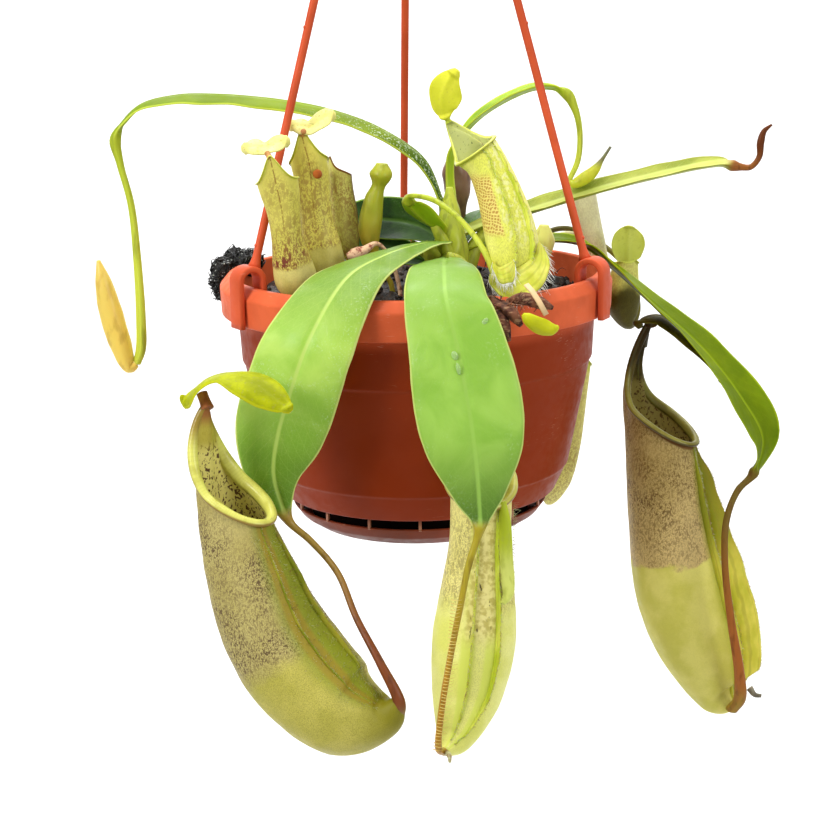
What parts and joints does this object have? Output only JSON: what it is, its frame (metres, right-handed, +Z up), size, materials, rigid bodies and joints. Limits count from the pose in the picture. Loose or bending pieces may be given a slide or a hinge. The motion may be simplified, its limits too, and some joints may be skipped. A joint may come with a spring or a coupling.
{
  "type": "hanging pitcher plant",
  "caption": "Tropical pitcher plant in a clay-coloured plastic hanging pot with saucer and three-armed hook hanger; mottled green pitchers hang below the leaves.",
  "frame": {"origin": "centre of the flat seat inside the hook's crown, where the hanger rests on whatever holds it", "axes": "+Z up along the hanger, -Y towards the side with the two large front leaves, +X towards the long leaf that reaches out"},
  "size_m": [0.2552, 0.1984, 0.4495],
  "materials": {
    "clay_plastic": "satin",
    "dark_plastic": "satin",
    "soil": "matte",
    "moss": "wet",
    "leaf": "satin",
    "dark_leaf": "satin",
    "pitcher": "satin",
    "lime_stem": "satin",
    "dry_plant": "matte"
  },
  "bodies": {
    "root": {"pot": "clay_plastic", "saucer": "dark_plastic", "hanger_arm_left": "clay_plastic", "hanger_arm_right": "clay_plastic", "hanger_arm_back": "clay_plastic", "hanger_hook": "clay_plastic", "soil": "soil", "moss_clump": "moss", "crown": "lime_stem", "leaf_front_left": "leaf", "leaf_front_centre": "leaf", "leaf_arch_left": "leaf", "leaf_arch_right": "leaf", "leaf_long_right": "leaf", "leaf_drooping_right": "leaf", "leaf_lime_edged": "leaf", "leaf_left_upper": "dark_leaf", "leaf_left_lower": "dark_leaf", "leaf_back": "dark_leaf", "pitcher_left": "pitcher", "pitcher_centre": "pitcher", "pitcher_right": "pitcher", "pitcher_upper": "pitcher", "pitcher_rim_front": "pitcher", "pitcher_rim_rear": "pitcher", "pitcher_torn": "dry_plant", "pitcher_pale": "pitcher", "pitcher_round_lid": "pitcher", "pitcher_behind": "pitcher", "pitcher_young": "leaf", "bud_left": "pitcher", "bud_right": "lime_stem", "bud_yellow": "lime_stem", "bud_dark": "dry_plant", "dried_leaf": "dry_plant", "lime_scrap": "lime_stem", "pink_scrap": "dry_plant"}
  },
  "joints": []
}
